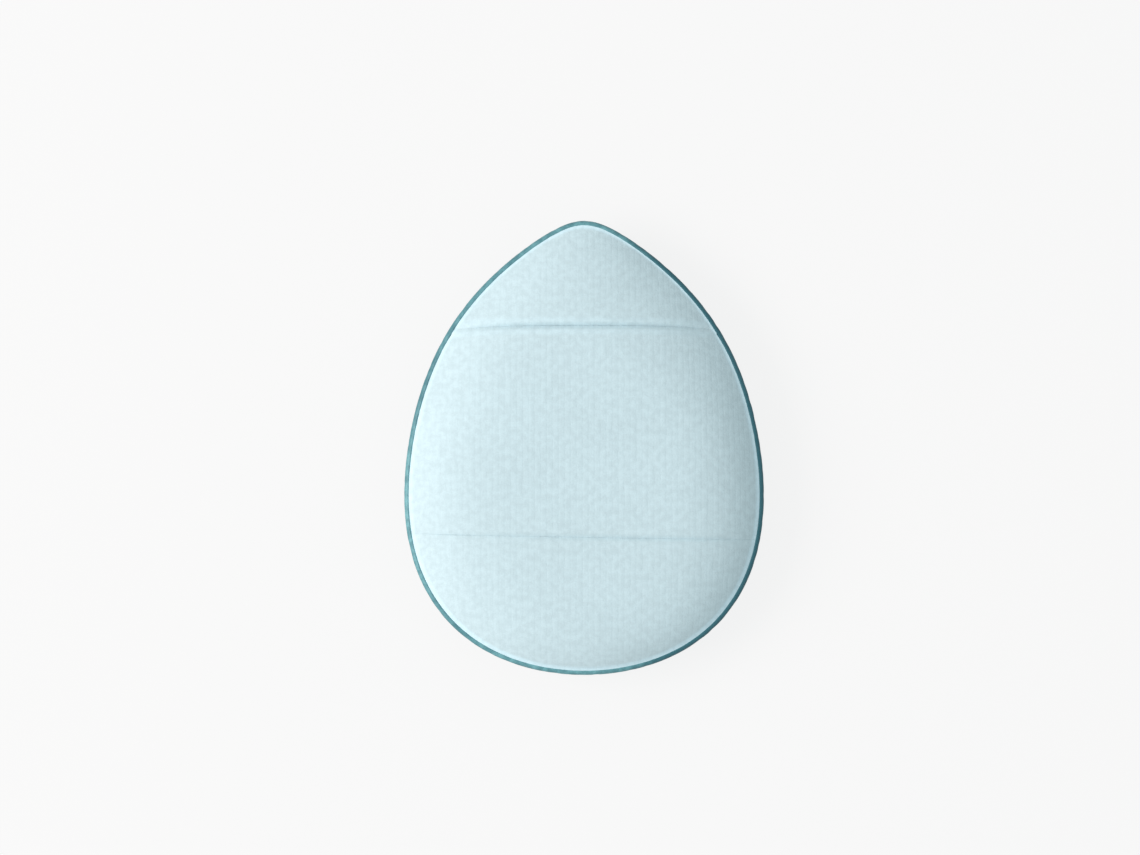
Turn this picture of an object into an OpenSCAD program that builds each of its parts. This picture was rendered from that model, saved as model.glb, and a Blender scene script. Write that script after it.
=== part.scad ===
// Finger powder puff: an egg-shaped, welded pad of foam layers with an elastic strap across its back.
// The pad lies on its contact face. +Z points out of the strap side and +Y towards the pointed tip.
// The origin is the middle of the footprint, on the surface that the pad rests on. Sizes are in millimetres.

/* [Pad] */
// Width across the welded edge
pad_w = 34; // [30:0.5:40]
// Length from the round end to the pointed tip
pad_l = 43; // [38:0.5:52]
// Height of the weld plane above the resting surface
weld_z = 4.8; // [4.2:0.1:6.5]
// Rise of the back above its flange
crown_h = 2.9; // [2:0.1:4]

/* [Welded edge] */
// Width of the fused bead, seen from above
bead_w = 0.45; // [0.35:0.05:0.7]
// Reach of the bead above the weld plane
bead_above = 0.5; // [0.45:0.05:0.7]
// Reach of the bead below the weld plane
bead_below = 0.35; // [0.3:0.05:0.6]

/* [Layers] */
// Thickness of the contact foam at its middle
contact_t = 1.2; // [0.8:0.1:1.8]
// Width of the contact foam's pressed lip at the weld
contact_lip_w = 0.5; // [0.4:0.05:0.7]
// Thickness of the barrier film
film_t = 0.12; // [0.08:0.01:0.2]
// Thickness of each adhesive web
glue_t = 0.1; // [0.06:0.01:0.16]
// Thickness of the back cover at its middle
cover_t = 0.5; // [0.4:0.05:0.7]
// Thickness of the back cover's pressed flange
flange_t = 0.4; // [0.35:0.01:0.45]
// Width of the back cover's pressed flange
flange_w = 0.4; // [0.3:0.05:0.6]

/* [Strap] */
// Width of the strap's ribbon, along the pad's length
strap_w = 19.5; // [16:0.5:22]
// Place of the strap's middle along the pad, from the pad's own middle
strap_y = 1.4; // [0:0.1:2.5]
// Thickness of the strap
strap_t = 0.45; // [0.3:0.05:0.6]
// Thickness of the strap's ends where the weld presses them
strap_end_t = 0.15; // [0.1:0.01:0.18]
// Gap between the strap and the back cover at the middle
strap_gap = 0.6; // [0.3:0.1:0.8]
// Bulge of the strap's upper edge towards the tip
strap_bow = 0.35; // [0:0.05:0.6]

/* [Hidden] */

// The egg is an ellipse whose width is multiplied by a polynomial of the place along its length,
// from -1 at the round end to 1 at the tip. These are the polynomial's coefficients.
taper_shares = [0.981, -0.186, 0.081, -0.057, -0.153, -0.123];
// How flat the back's plateau is, and how square the contact side's bowl is
crown_power = 5;
bowl_power = 3.5;
// How fast the strap thickens from its pressed ends
strap_power = 4;

// Depth of the flat that the contact face is pressed to where the pad rests
foot_cut = 0.5;
// Height of the straight wall below the weld plane, before the bowls round in
wall_h = 0.3;
// Running gaps of the strap: over the pressed flange, at the bead and beside the creases
end_gap = 0.08;
bead_gap = 0.1;
crease_gap = 0.12;
// Width of the slope by which the back cover rises beside the strap
crease_w = 0.5;

// Insets of the layers' edges from the pad's outline
film_inset = bead_w + contact_lip_w;
glue_inset = film_inset + film_t;
core_inset = glue_inset + glue_t;
crown_inset = bead_w + flange_w;
strap_inset = bead_w + bead_gap;

// Heights of the layers' inner bowls above the resting surface, at the middle
film_z = contact_t;
glue_z = film_z + film_t;
core_z = glue_z + glue_t;
// Rise of the back cover's underside, so that the cover has its thickness at the middle
core_crown_h = crown_h + flange_t - cover_t;
// Depth of the flange and of the back cover's middle under the strap
end_recess = strap_end_t + end_gap;
middle_recess = strap_t + strap_gap;

// The strap's two edges at its ends, and the outer edges of the creases beside them
lower_edge = strap_y - strap_w / 2;
upper_edge = strap_y + strap_w / 2;
lower_crease = lower_edge - crease_gap - crease_w;
upper_crease = upper_edge + crease_gap + crease_w;

// Counts: rows towards each tip, rows across the strap, columns across the crown, rings in a bowl
tip_rows = 8;
strap_rows = 6;
crown_columns = 14;
bowl_rings = 5;
bead_sides = 6;
row_count = 2 * tip_rows + strap_rows + 5;
loop_count = 2 * row_count - 2;

// Width factor at a place along the length, as a share of half the length
function taper(along) = taper_shares * [for (power = [0 : len(taper_shares) - 1]) pow(along, power)];

// Semi-axes of the egg at an inset from the outline: along the pad, and across it at a place along
function half_l(inset) = pad_l / 2 - inset;
function half_w(inset, along) = pad_w / 2 * taper(along) - inset;

// Half the egg's width at a height y on the plan
function egg_x(inset, y) =
    let (along = y / half_l(inset))
    half_w(inset, along) * sqrt(max(0, 1 - along * along));

// How far out a point lies: 0 at the middle and 1 on the egg at that inset
function reach(inset, x, y) =
    let (along = y / half_l(inset), across = x / half_w(inset, along))
    min(1, sqrt(along * along + across * across));

// Rows of the grid, lowest first: height y on the plan, share of the bow, and 1 where the strap lies
function rows(inset) =
    let (tip = half_l(inset), low = tip + lower_crease, high = tip - upper_crease)
    [
        for (k = [0 : tip_rows]) [-tip + low * (1 - cos(90 * k / tip_rows)), 0, 0],
        [lower_edge - crease_gap, 0, 1],
        for (k = [0 : strap_rows]) [lower_edge + strap_w * k / strap_rows, k / strap_rows, 1],
        [upper_edge + crease_gap, 1, 1],
        for (k = [tip_rows : -1 : 0]) let (rise = 1 - cos(90 * k / tip_rows)) [tip - high * rise, rise, 0]
    ];

// The rows of a closed loop: up the right side and down the left, with each tip once
function loop_rows(inset) =
    let (all = rows(inset))
    [for (r = all) concat(r, 1), for (k = [row_count - 2 : -1 : 1]) concat(all[k], -1)];

// A loop of points on the egg at an inset, shrunk by a share, level at z
function loop(inset, z, share = 1) = [
    for (r = loop_rows(inset))
        let (along = r[0] / half_l(inset), across = sqrt(max(0, 1 - along * along)))
        [r[3] * share * across * half_w(inset, share * along), r[0] * share, z]
];

// The same loop on the flange, which is pressed lower under the strap's ends
function flange_loop(inset) =
    let (level = loop(inset, weld_z + flange_t), all = loop_rows(inset))
    [for (k = [0 : loop_count - 1]) level[k] - [0, 0, all[k][2] * end_recess]];

// Column places across a crown, from -1 at its left foot to 1 at its right
function column(k) = sin(90 * (2 * k / crown_columns - 1));

// A crown's plan points inside its loop, row by row: [x, y, 1 where the strap lies]
function plan_point(inset, row, across) =
    [across * egg_x(inset, row[0]), row[0] + strap_bow * row[1] * (1 - across * across), row[2]];
function plan(inset) =
    let (all = rows(inset))
    [for (k = [1 : row_count - 2]) for (c = [1 : crown_columns - 1]) plan_point(inset, all[k], column(c))];

// Rise of a crown at a share of the way out
function rise(height, out) = height * (1 - pow(out, crown_power));
// Thickness of the strap, and the gap below it
function strap_thickness(out) = strap_end_t + (strap_t - strap_end_t) * (1 - pow(out, strap_power));
function strap_clearance(out) = end_gap + (strap_gap - end_gap) * (1 - out * out);

// Height of the back's outer surface without the strap's recess, and with it
function back_z(out) = weld_z + flange_t + rise(crown_h, out);
function cover_z(out, under) = back_z(out) - under * (strap_thickness(out) + strap_clearance(out));
// Height of the back cover's underside
function lining_z(out, under) =
    weld_z + rise(core_crown_h, out) - under * middle_recess * (1 - pow(out, strap_power));

// Points inside the crown of the back cover, and inside its underside lowered by a layer below it
function cover_points() = [
    for (p = plan(crown_inset)) [p[0], p[1], cover_z(reach(crown_inset, p[0], p[1]), p[2])]
];
function lining_points(below) = [
    for (p = plan(core_inset)) [p[0], p[1], lining_z(reach(core_inset, p[0], p[1]), p[2]) - below]
];

// Loops of a bowl, from the straight wall's foot down to its flat or its last ring before the middle
function bowl(inset, depth, last_angle, count) = [
    for (k = [0 : count])
        let (angle = last_angle * k / count)
        loop(inset, weld_z - wall_h - depth * sin(angle), pow(cos(angle), 2 / bowl_power))
];
function inner_bowl(inset, bottom_z) =
    let (step = 90 / bowl_rings)
    bowl(inset, weld_z - wall_h - bottom_z, 90 - step, bowl_rings - 1);

// Triangles, each with its outside on the clockwise side. A wall runs from an upper loop down to a lower
// one, a stack of walls runs through loops that follow each other, and a base closes a loop from below.
function wall(upper, lower) = [
    for (k = [0 : loop_count - 1])
        let (next = (k + 1) % loop_count)
        each [[upper + k, lower + next, lower + k], [upper + k, upper + next, lower + next]]
];
function stack(first, count) =
    [for (k = [0 : count - 2]) each wall(first + k * loop_count, first + (k + 1) * loop_count)];
function base(first, middle) =
    [for (k = [0 : loop_count - 1]) [middle, first + k, first + (k + 1) % loop_count]];
// The same triangles turned to face the other way
function turned(faces) = [for (f = faces) [f[2], f[1], f[0]]];

// A crown's grid inside the loop that starts at first; its inner points start at inside
function crown_index(first, inside, row, col) =
    row == 0 || row == row_count - 1 || col == crown_columns ? first + row
    : col == 0 ? first + loop_count - row
    : inside + (row - 1) * (crown_columns - 1) + col - 1;
function crown(first, inside) = [
    for (row = [0 : row_count - 2]) for (col = [0 : crown_columns - 1])
        let (
            a = crown_index(first, inside, row, col),
            b = crown_index(first, inside, row, col + 1),
            c = crown_index(first, inside, row + 1, col + 1),
            d = crown_index(first, inside, row + 1, col)
        )
        each [if (row > 0) [a, c, b], if (row < row_count - 2) [a, d, c]]
];

// All the points of a list of loops
function joined(loops) = [for (ring = loops) each ring];

// A bowl with a wall: loops outside and inside it, and the height of each surface at the middle
module bowl_shell(outer, outer_z, inner, inner_z) {
    inner_first = len(outer) * loop_count;
    middle = inner_first + len(inner) * loop_count;
    polyhedron(
        concat(joined(outer), joined(inner), [[0, 0, outer_z], [0, 0, inner_z]]),
        concat(
            stack(0, len(outer)),
            base(inner_first - loop_count, middle),
            wall(inner_first, 0),
            turned(stack(inner_first, len(inner))),
            turned(base(middle - loop_count, middle + 1))
        ),
        convexity = 4
    );
}

// The loops of a layer's face, from the weld plane down
function layer_loops(inset, bottom_z) = concat([loop(inset, weld_z)], inner_bowl(inset, bottom_z));

// Smooth foam skin that touches the face, wrapped up to the weld and pressed flat where the pad rests
module contact_face() {
    fall = weld_z - wall_h;
    depth = fall + foot_cut;
    outer = concat([loop(bead_w, weld_z)], bowl(bead_w, depth, asin(fall / depth), bowl_rings));
    color("cadetblue") bowl_shell(outer, 0, layer_loops(film_inset, film_z), film_z);
}

// Thin film that keeps make-up out of the core
module barrier_film() {
    color("whitesmoke")
        bowl_shell(layer_loops(film_inset, film_z), film_z, layer_loops(glue_inset, glue_z), glue_z);
}

// Web of hot-melt adhesive between the film and the core
module front_adhesive() {
    color("ivory")
        bowl_shell(layer_loops(glue_inset, glue_z), glue_z, layer_loops(core_inset, core_z), core_z);
}

// Soft open-cell core
module foam_core() {
    bowls = layer_loops(core_inset, core_z);
    inside = len(bowls) * loop_count;
    top = lining_points(glue_t);
    middle = inside + len(top);
    color("mintcream")
        polyhedron(
            concat(joined(bowls), top, [[0, 0, core_z]]),
            concat(crown(0, inside), stack(0, len(bowls)), base(inside - loop_count, middle)),
            convexity = 4
        );
}

// Web of hot-melt adhesive between the core and the back cover
module back_adhesive() {
    top = lining_points(0);
    inside = loop_count + len(top);
    color("ivory")
        polyhedron(
            concat(loop(core_inset, weld_z), top, lining_points(glue_t)),
            concat(crown(0, loop_count), turned(crown(0, inside))),
            convexity = 4
        );
}

// Knitted back with a pressed flange, and a shallow seat for the strap
module back_cover() {
    lining = lining_points(0);
    loops = [
        flange_loop(crown_inset),
        flange_loop(bead_w),
        loop(bead_w, weld_z),
        loop(core_inset, weld_z)
    ];
    under = len(loops) * loop_count;
    over = under + len(lining);
    color("powderblue")
        polyhedron(
            concat(joined(loops), lining, cover_points()),
            concat(crown(0, over), stack(0, len(loops)), turned(crown(under - loop_count, under))),
            convexity = 6
        );
}

// Elastic knitted ribbon across the back: the weld holds both its ends and the rest is loose
module finger_strap() {
    lines = [for (k = [0 : strap_rows]) rows(crown_inset)[tip_rows + 2 + k]];
    columns = crown_columns + 3;
    spots = [
        for (line = lines)
            let (end = egg_x(strap_inset, line[0]))
            each [
                [-end, line[0]],
                for (c = [0 : crown_columns]) plan_point(crown_inset, line, column(c)),
                [end, line[0]]
            ]
    ];
    outs = [for (s = spots) reach(crown_inset, s[0], s[1])];
    top = [for (k = [0 : len(spots) - 1]) [spots[k][0], spots[k][1], back_z(outs[k])]];
    bottom = [for (k = [0 : len(spots) - 1]) top[k] - [0, 0, strap_thickness(outs[k])]];
    face = [
        for (row = [0 : strap_rows - 1]) for (col = [0 : columns - 2])
            let (a = row * columns + col, d = a + columns)
            each [[a, d + 1, a + 1], [a, d, d + 1]]
    ];
    edge = [
        for (col = [0 : columns - 1]) col,
        for (row = [1 : strap_rows]) (row + 1) * columns - 1,
        for (col = [columns - 2 : -1 : 0]) strap_rows * columns + col,
        for (row = [strap_rows - 1 : -1 : 1]) row * columns
    ];
    side = [
        for (k = [0 : len(edge) - 1])
            let (a = edge[k], b = edge[(k + 1) % len(edge)])
            each [[a, b + len(top), a + len(top)], [a, b, b + len(top)]]
    ];
    color("lightcyan")
        polyhedron(
            concat(top, bottom),
            concat(face, side, [for (f = turned(face)) f + len(top) * [1, 1, 1]]),
            convexity = 4
        );
}

// Fused bead round the rim, which joins the layers and the strap's ends
module edge_weld() {
    loops = [
        for (k = [0 : bead_sides])
            let (angle = 90 - 180 * k / bead_sides, side = angle > 0 ? bead_above : bead_below)
            loop(bead_w * (1 - cos(angle)), weld_z + side * sin(angle))
    ];
    color("teal")
        polyhedron(
            joined(loops),
            concat(stack(0, len(loops)), wall(bead_sides * loop_count, 0)),
            convexity = 4
        );
}

contact_face();
barrier_film();
front_adhesive();
foam_core();
back_adhesive();
back_cover();
finger_strap();
edge_weld();
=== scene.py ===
"""Egg-shaped finger puff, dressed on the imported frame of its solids.

The pad is built of its real layers. From below: a soft contact face, a barrier film, an adhesive web,
a foam core, a second web and a knitted back cover. An elastic strap crosses the back, and one welded
bead closes the rim. Lengths are in metres, and +Y points to the pad's pointed tip.
"""

from __future__ import annotations

import logging
import math
from collections.abc import Callable, Sequence
from dataclasses import dataclass, replace
from enum import Enum
from typing import Protocol

import bmesh
import bpy
from bmesh.types import BMEdge, BMesh, BMVert
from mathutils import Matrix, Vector, noise

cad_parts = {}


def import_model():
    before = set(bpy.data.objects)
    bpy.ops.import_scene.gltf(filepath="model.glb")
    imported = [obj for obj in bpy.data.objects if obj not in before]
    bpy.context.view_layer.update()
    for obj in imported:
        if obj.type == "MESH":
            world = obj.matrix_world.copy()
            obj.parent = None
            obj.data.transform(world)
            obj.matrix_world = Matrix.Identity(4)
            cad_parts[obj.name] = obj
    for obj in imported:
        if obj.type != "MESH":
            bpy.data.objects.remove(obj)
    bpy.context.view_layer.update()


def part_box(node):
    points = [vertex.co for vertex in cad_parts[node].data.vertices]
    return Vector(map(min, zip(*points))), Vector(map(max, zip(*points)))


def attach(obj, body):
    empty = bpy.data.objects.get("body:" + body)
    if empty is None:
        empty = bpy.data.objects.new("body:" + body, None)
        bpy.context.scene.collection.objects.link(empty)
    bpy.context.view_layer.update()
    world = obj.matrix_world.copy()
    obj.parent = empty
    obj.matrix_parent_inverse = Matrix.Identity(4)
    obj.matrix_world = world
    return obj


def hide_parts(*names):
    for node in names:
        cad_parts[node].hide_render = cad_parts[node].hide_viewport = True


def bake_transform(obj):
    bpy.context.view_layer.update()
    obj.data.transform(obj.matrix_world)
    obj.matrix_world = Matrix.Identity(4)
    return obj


LOG = logging.getLogger("finger_puff")
MM = 0.001
LEAST_REACH = 1e-6
RIM_PLACE = "rim_place"
CLOTH_MAP = "cloth"
# Name of the cloth's pale share, which holds pressed cloth and painted highlights.
PALE_AND_HIGHLIT = "pale_and_highlit"
# Name of the bead's frost share, which also holds painted shade towards the right.
FROST_AND_SHADE = "frost_and_shade"
WHITE = (1.0, 1.0, 1.0, 1.0)


class Body(Enum):
    """The rigid bodies of the frame that pieces ride on."""

    PUFF = "puff"
    STRAP = "strap"


class Slot(Enum):
    """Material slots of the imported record."""

    CONTACT = "contact_foam"
    FILM = "film"
    WEB = "adhesive_web"
    CORE = "core_foam"
    COVER = "cover_knit"
    STRAP = "strap_knit"
    WELD = "welded_edge"


class Side(Enum):
    """The two sides of the pad, as the sign of X."""

    LEFT = -1
    RIGHT = 1


@dataclass(frozen=True)
class Crease:
    """Shallow crease between an edge of the strap and the cover's rounded shoulder beside it.

    Args:
        round_w: Reach of the strap's rounded edge.
        shoulder_w: Reach of the shoulder beyond the strap's edge.
        tip: Depth of the strap's edge below its face, as a share of the strap's thickness.
        lip: Depth of the shoulder at the strap's edge, as a share of the strap's thickness.
        power: How late both bend down.
        lean: How much deeper the crease is on the pad's right than in the middle, as a share.
    """

    round_w: float
    shoulder_w: float
    tip: float
    lip: float
    power: float
    lean: float = 0.0

    def level(self, inward: float) -> float:
        """Height of a rounding at a share of its reach: 1 at its start, 0 at the strap's edge."""
        return 1.0 - inward**self.power


def smooth_step(value: float) -> float:
    """Ease from 0 to 1 with level ends; values outside that range are clamped."""
    t = min(1.0, max(0.0, value))
    return t * t * (3.0 - 2.0 * t)


def mix(a: float, b: float, share: float) -> float:
    """The value that lies a share of the way from a to b."""
    return a + (b - a) * share


def soft_positive(value: float, radius: float) -> float:
    """The value where it is well above zero, and zero below, with a rounded corner between."""
    return 0.5 * (value + math.hypot(value, radius))


def crowd(even: float, strength: float = 0.6) -> float:
    """Draw evenly spaced places from -1 to 1 closer together towards both ends."""
    return mix(even, math.sin(0.5 * math.pi * even), strength)


def flat_blank(area: float, plan: EggPlan, filled: float = 0.78) -> tuple[float, float]:
    """Width and length of an egg-shaped blank.

    Args:
        area: Area of the blank.
        plan: Plan whose proportions it has.
        filled: Share of its own box that the egg fills.

    Returns:
        The blank's width and length.
    """
    width = math.sqrt(area / filled * plan.half_width / plan.half_length)
    return width, width * plan.half_length / plan.half_width


@dataclass(frozen=True)
class EggPlan:
    """Plan of the pad: an ellipse whose width follows a polynomial along its length.

    Args:
        half_width: Half the width across the welded edge.
        half_length: Half the length, from the middle to either tip.
        taper: Coefficients of the width factor, the constant term first.
    """

    half_width: float
    half_length: float
    taper: tuple[float, ...] = (0.981, -0.186, 0.081, -0.057, -0.153, -0.123)

    def along(self, y: float, inset: float) -> float:
        """Place along the pad as a share of its half length at an inset, clamped to the tips."""
        return min(1.0, max(-1.0, y / (self.half_length - inset)))

    def across(self, along: float, inset: float) -> float:
        """Half the width of the ellipse at a place along the pad."""
        factor = sum(c * along**power for power, c in enumerate(self.taper))
        return self.half_width * factor - inset

    def edge_x(self, y: float, inset: float) -> float:
        """Distance from the middle line to the egg at a height on the plan."""
        along = self.along(y, inset)
        return self.across(along, inset) * math.sqrt(1.0 - along * along)

    def reach(self, x: float, y: float, inset: float) -> float:
        """How far out a point lies: 0 at the middle, 1 on the egg at that inset.

        Args:
            x: Place across the pad.
            y: Place along it, towards the tip.
            inset: Distance in from the welded edge.

        Returns:
            The share of the way out.
        """
        along = y / (self.half_length - inset)
        wide = self.across(self.along(y, inset), inset)
        return math.hypot(along, x / wide)

    def depth(self, x: float, y: float) -> float:
        """Distance of a point from the outline, which is exact near the outline.

        Args:
            x: Place across the pad.
            y: Place along it, towards the tip.

        Returns:
            The distance, positive inside.
        """
        reach = max(self.reach(x, y, 0.0), LEAST_REACH)
        wide = self.across(self.along(y, 0.0), 0.0)
        slope = math.hypot(x / wide**2, y / self.half_length**2) / reach
        return (1.0 - reach) / slope

    def spot(self, angle: float, inset: float, share: float = 1.0) -> tuple[float, float]:
        """Point of the egg at an inset.

        Args:
            angle: Angle on the ellipse, a quarter turn at the pointed tip.
            inset: Distance in from the welded edge.
            share: Share by which the egg is shrunk towards its middle.

        Returns:
            The point's x and y.
        """
        along = share * math.sin(angle)
        x = share * math.cos(angle) * self.across(along, inset)
        return x, along * (self.half_length - inset)

    def angle_at(self, y: float, inset: float) -> float:
        """Angle on the ellipse of the right-hand edge at a height on the plan."""
        return math.asin(self.along(y, inset))


@dataclass(frozen=True)
class PadSizes:
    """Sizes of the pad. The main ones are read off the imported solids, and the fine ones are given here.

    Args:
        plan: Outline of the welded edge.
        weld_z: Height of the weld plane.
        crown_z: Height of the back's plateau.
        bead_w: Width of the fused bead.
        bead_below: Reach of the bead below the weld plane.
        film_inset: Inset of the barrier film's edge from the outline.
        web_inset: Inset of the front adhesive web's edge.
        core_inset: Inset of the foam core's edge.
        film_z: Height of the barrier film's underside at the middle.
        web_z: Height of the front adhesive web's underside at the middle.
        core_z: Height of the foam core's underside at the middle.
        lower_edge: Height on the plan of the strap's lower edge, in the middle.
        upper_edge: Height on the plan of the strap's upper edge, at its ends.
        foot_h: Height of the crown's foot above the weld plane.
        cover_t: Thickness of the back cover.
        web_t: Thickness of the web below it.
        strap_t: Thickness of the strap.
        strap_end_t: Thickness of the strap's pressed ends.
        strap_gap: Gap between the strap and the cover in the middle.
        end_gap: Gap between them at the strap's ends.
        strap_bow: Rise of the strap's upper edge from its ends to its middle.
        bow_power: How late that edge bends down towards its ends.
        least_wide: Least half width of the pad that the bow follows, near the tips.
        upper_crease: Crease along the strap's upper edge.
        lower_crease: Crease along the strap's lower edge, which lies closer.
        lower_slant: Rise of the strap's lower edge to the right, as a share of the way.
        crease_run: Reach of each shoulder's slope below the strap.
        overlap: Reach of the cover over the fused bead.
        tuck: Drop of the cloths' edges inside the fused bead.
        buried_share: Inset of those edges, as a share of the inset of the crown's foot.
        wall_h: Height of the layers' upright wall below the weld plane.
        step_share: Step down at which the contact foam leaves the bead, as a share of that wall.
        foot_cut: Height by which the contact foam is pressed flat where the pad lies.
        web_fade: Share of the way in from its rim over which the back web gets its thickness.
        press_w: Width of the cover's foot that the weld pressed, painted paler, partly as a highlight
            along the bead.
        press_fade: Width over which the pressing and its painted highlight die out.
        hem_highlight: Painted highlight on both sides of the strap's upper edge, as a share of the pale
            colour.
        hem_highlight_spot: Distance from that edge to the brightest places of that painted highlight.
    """

    plan: EggPlan
    weld_z: float
    crown_z: float
    bead_w: float
    bead_below: float
    film_inset: float
    web_inset: float
    core_inset: float
    film_z: float
    web_z: float
    core_z: float
    lower_edge: float
    upper_edge: float
    foot_h: float = 0.4 * MM
    cover_t: float = 0.5 * MM
    web_t: float = 0.1 * MM
    strap_t: float = 0.45 * MM
    strap_end_t: float = 0.2 * MM
    strap_gap: float = 0.6 * MM
    end_gap: float = 0.05 * MM
    strap_bow: float = 0.35 * MM
    bow_power: int = 4
    least_wide: float = 1.0 * MM
    upper_crease: Crease = Crease(0.4 * MM, 0.42 * MM, tip=0.84, lip=0.93, power=1.45)
    lower_crease: Crease = Crease(0.36 * MM, 0.38 * MM, tip=0.42, lip=0.5, power=1.3, lean=0.6)
    lower_slant: float = -0.018
    crease_run: float = 0.36 * MM
    overlap: float = 0.04 * MM
    tuck: float = 0.12 * MM
    buried_share: float = 0.65
    wall_h: float = 0.3 * MM
    step_share: float = 0.25
    foot_cut: float = 0.5 * MM
    web_fade: float = 0.05
    press_w: float = 0.22 * MM
    press_fade: float = 0.25 * MM
    hem_highlight: float = 0.3
    hem_highlight_spot: float = 0.5 * MM

    @classmethod
    def from_frame(cls) -> PadSizes:
        """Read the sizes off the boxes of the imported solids.

        Returns:
            The sizes.
        """
        weld_low, weld_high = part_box("edge_weld")
        cover_low, cover_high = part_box("back_cover")
        film_low, film_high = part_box("barrier_film")
        web_low, web_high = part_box("front_adhesive")
        core_low, core_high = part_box("foam_core")
        strap_low, strap_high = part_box("finger_strap")
        half_length = weld_high.y
        return cls(
            plan=EggPlan(weld_high.x, half_length),
            weld_z=cover_low.z,
            crown_z=strap_high.z,
            bead_w=half_length - cover_high.y,
            bead_below=cover_low.z - weld_low.z,
            film_inset=half_length - film_high.y,
            web_inset=half_length - web_high.y,
            core_inset=half_length - core_high.y,
            film_z=film_low.z,
            web_z=web_low.z,
            core_z=core_low.z,
            lower_edge=strap_low.y,
            upper_edge=strap_high.y - cls.strap_bow,
        )

    @property
    def foot_inset(self) -> float:
        """Inset of the crown's foot, where the cover meets the bead."""
        return self.bead_w - self.overlap

    @property
    def bead_buried(self) -> float:
        """Inset to which the cloths run on inside the fused bead."""
        return self.buried_share * self.foot_inset

    @property
    def bead_step(self) -> float:
        """Step below the weld plane at which the contact foam leaves the bead."""
        return self.step_share * self.wall_h

    @property
    def foot_z(self) -> float:
        """Height of the crown's foot."""
        return self.weld_z + self.foot_h

    def lower_line(self, x: float) -> float:
        """Height on the plan of the strap's lower edge, which slants a little."""
        return self.lower_edge + self.lower_slant * x

    def upper_line(self, x: float, y: float) -> float:
        """Height on the plan of the strap's bowed upper edge.

        Args:
            x: Place across the pad.
            y: Place along it, near that edge.

        Returns:
            The height.
        """
        wide = max(self.plan.edge_x(y, self.foot_inset), self.least_wide)
        across = min(1.0, abs(x) / wide)
        return self.upper_edge + self.strap_bow * (1.0 - across**self.bow_power)

    def pressed(self, x: float, y: float) -> float:
        """How hard the weld pressed the cloth at a point of the plan: 1 at the bead. The paleness it gives
        is partly painted highlight.
        """
        inward = self.plan.depth(x, y) - self.foot_inset - self.press_w
        return 1.0 - smooth_step(inward / self.press_fade)

    def pale_and_highlit(self, x: float, y: float) -> float:
        """How pale the cloth is at a point of the plan: 1 where the weld pressed it hardest. Along the
        bead this is partly painted highlight, and beside the strap's upper edge it is painted highlight.

        Args:
            x: Place across the pad.
            y: Place along it, towards the tip.

        Returns:
            The share of the pale colour.
        """
        beside = abs(abs(y - self.upper_line(x, y)) - self.hem_highlight_spot)
        # Painted highlight on both sides of the strap's upper edge.
        hem = self.hem_highlight * (1.0 - smooth_step(beside / self.hem_highlight_spot))
        return max(self.pressed(x, y), hem)


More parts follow.
